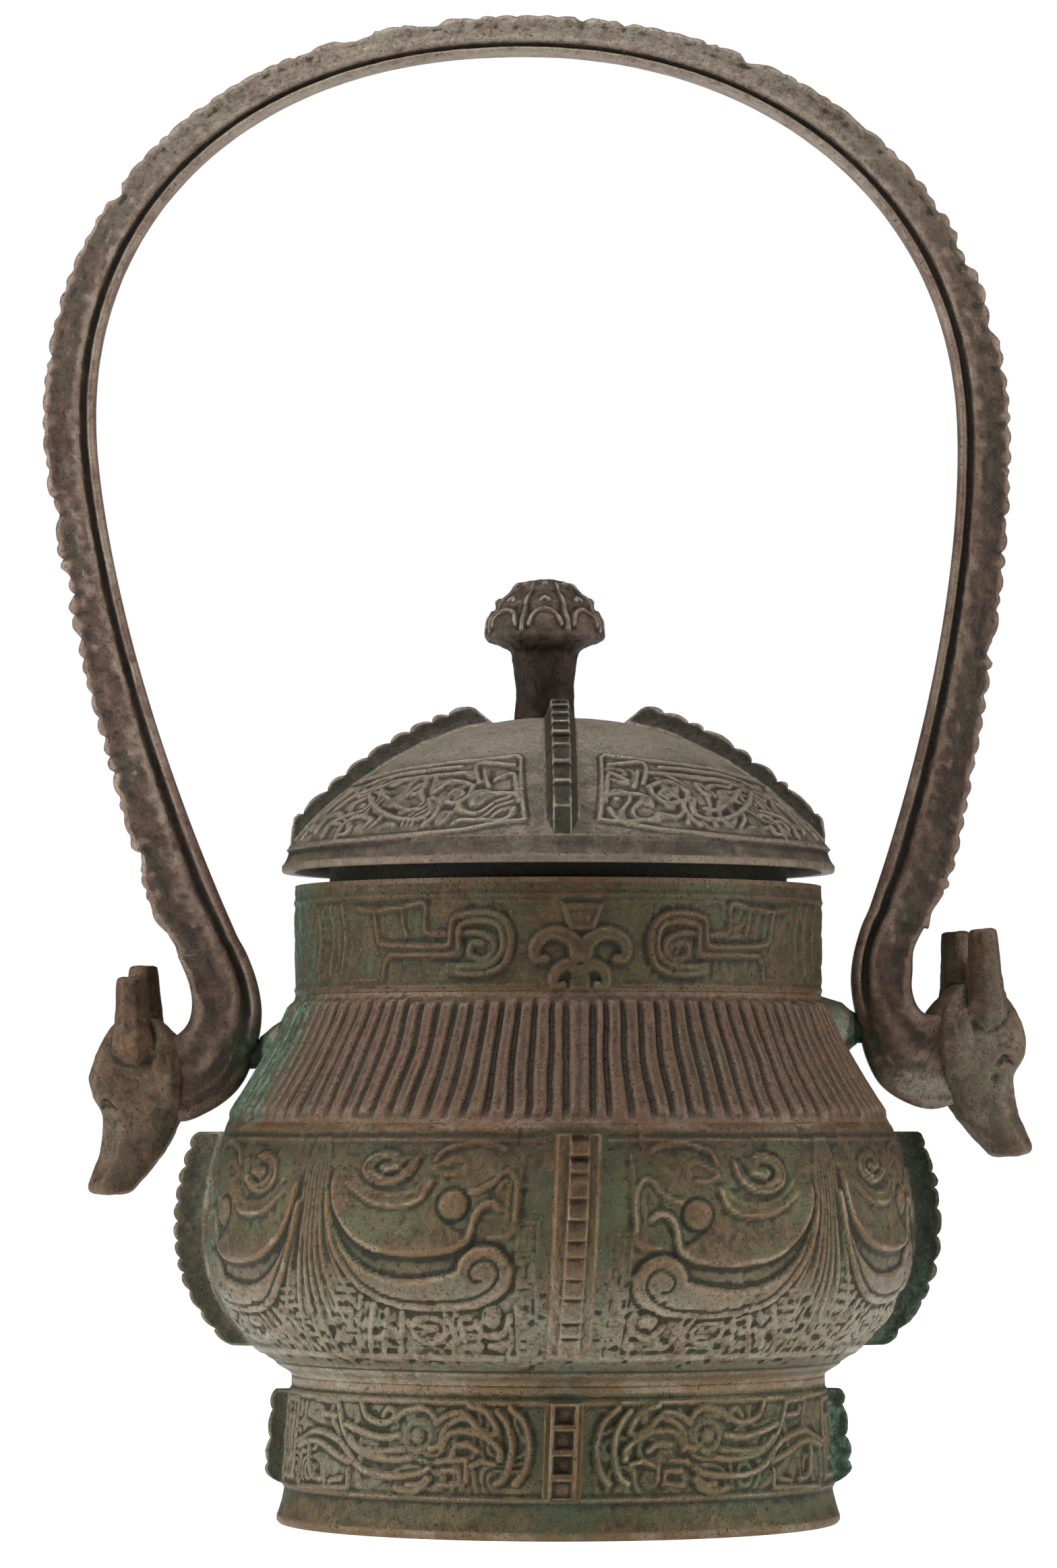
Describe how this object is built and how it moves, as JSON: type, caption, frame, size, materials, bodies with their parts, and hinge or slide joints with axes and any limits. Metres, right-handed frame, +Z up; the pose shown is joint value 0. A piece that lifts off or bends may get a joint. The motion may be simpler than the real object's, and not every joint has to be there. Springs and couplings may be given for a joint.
{
  "type": "lidded ritual wine vessel",
  "caption": "Cast bronze wine vessel on a ring foot, with notched flanges, relief masks, a domed lid with a mushroom knob, and an arched swing handle ending in horned animal heads.",
  "frame": {"origin": "under the middle of the whole object, at the height of the surface that it stands on. The vessel's own axis is at x = 4.5 mm, because the handle leans to -X and its two heads differ.", "axes": "+Z up along the vessel's axis, +X to the viewer's right along the handle's arch, -Y to the front"},
  "size_m": [0.2374, 0.1836, 0.3599],
  "materials": {
    "vessel_bronze": "old cast bronze with olive and green patina, worn brown on the high places",
    "lid_bronze": "old cast bronze with grey-green patina",
    "handle_bronze": "old cast bronze, dark brown with green in the hollows"
  },
  "bodies": {
    "vessel_with_lid": {"vessel": "vessel_bronze", "lid": "lid_bronze"},
    "handle": {"handle": "handle_bronze"}
  },
  "joints": [
    {"name": "handle_swing", "type": "hinge", "parent": "vessel_with_lid", "child": "handle", "pos_m": [0.0045, 0, 0.1146], "axis": [0.9991, 0, 0.0424], "range_deg": [-70, 70]}
  ]
}
